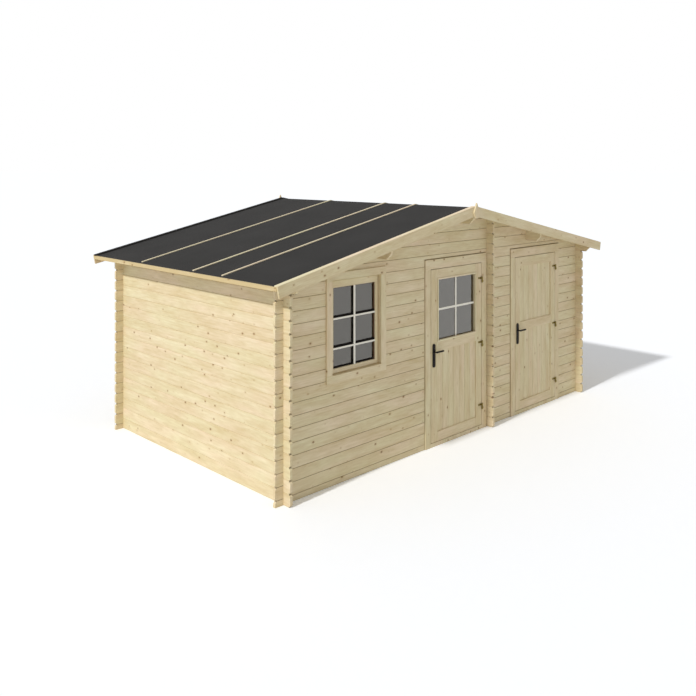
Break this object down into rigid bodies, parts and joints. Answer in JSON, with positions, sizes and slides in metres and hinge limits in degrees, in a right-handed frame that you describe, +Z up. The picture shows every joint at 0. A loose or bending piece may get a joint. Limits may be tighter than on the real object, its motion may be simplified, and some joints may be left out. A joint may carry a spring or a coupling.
{
  "type": "garden shed",
  "caption": "Timber garden shed of interlocking logs under a low felted gable roof, with a partition wall, a barred window and side-hung doors that open.",
  "frame": {"origin": "on the ground under the middle of the overall plan", "axes": "+X to the right along the front as a person facing it sees it, -Y out of the front, +Z up"},
  "size_m": [5.394, 3.2846, 2.53],
  "materials": {
    "spruce_logs": "planed, untreated",
    "planed_spruce": "planed, untreated",
    "floor_boards": "planed, untreated",
    "roofing_felt": "mineral grit",
    "window_glass": "clear",
    "brass_hinges": "dull plated",
    "black_metal": "satin black"
  },
  "bodies": {
    "cabin": {"left_wall": "spruce_logs", "right_wall": "spruce_logs", "partition_wall": "spruce_logs", "back_wall": "spruce_logs", "back_gable": "spruce_logs", "front_wall_left": "spruce_logs", "front_wall_middle": "spruce_logs", "front_wall_right": "spruce_logs", "front_gable": "spruce_logs", "ridge_purlin": "spruce_logs", "left_purlin": "spruce_logs", "right_purlin": "spruce_logs", "left_roof_boards": "planed_spruce", "right_roof_boards": "planed_spruce", "left_roofing_felt": "roofing_felt", "right_roofing_felt": "roofing_felt", "left_roof_battens": "planed_spruce", "right_roof_battens": "planed_spruce", "left_eave_strip": "planed_spruce", "right_eave_strip": "planed_spruce", "front_left_bargeboard": "planed_spruce", "front_right_bargeboard": "planed_spruce", "back_left_bargeboard": "planed_spruce", "back_right_bargeboard": "planed_spruce", "front_finial": "planed_spruce", "back_finial": "planed_spruce", "window_casing": "planed_spruce", "window_lining": "planed_spruce", "window_sash": "planed_spruce", "window_glass": "window_glass", "left_door_frame": "planed_spruce", "right_door_frame": "planed_spruce", "left_door_hinge_pins": "brass_hinges", "right_door_hinge_pins": "brass_hinges", "left_room_floor": "floor_boards", "right_room_floor": "floor_boards", "floor_bearers": "floor_boards"},
    "left_door": {"left_door_leaf": "planed_spruce", "left_door_panel": "planed_spruce", "left_door_glass": "window_glass", "left_door_handle_plates": "black_metal", "left_door_hinge_sleeves": "brass_hinges"},
    "right_door": {"right_door_leaf": "planed_spruce", "right_door_panels": "planed_spruce", "right_door_handle_plates": "black_metal", "right_door_hinge_sleeves": "brass_hinges"},
    "left_lever": {"left_door_levers": "black_metal"},
    "right_lever": {"right_door_levers": "black_metal"}
  },
  "joints": [
    {"name": "left_door_swing", "type": "hinge", "parent": "cabin", "child": "left_door", "pos_m": [0.376, -1.434, 0.95], "axis": [0, 0, 1], "range_deg": [0, 110]},
    {"name": "right_door_swing", "type": "hinge", "parent": "cabin", "child": "right_door", "pos_m": [1.911, -1.434, 0.95], "axis": [0, 0, 1], "range_deg": [0, 110]},
    {"name": "left_lever_turn", "type": "hinge", "parent": "left_door", "child": "left_lever", "pos_m": [-0.45, -1.4, 0.99], "axis": [0, 1, 0], "range_deg": [0, 40], "stiffness_Nm_per_rad": 2, "springref_deg": -20.05},
    {"name": "right_lever_turn", "type": "hinge", "parent": "right_door", "child": "right_lever", "pos_m": [1.085, -1.4, 0.99], "axis": [0, 1, 0], "range_deg": [0, 40], "stiffness_Nm_per_rad": 2, "springref_deg": -20.05}
  ]
}
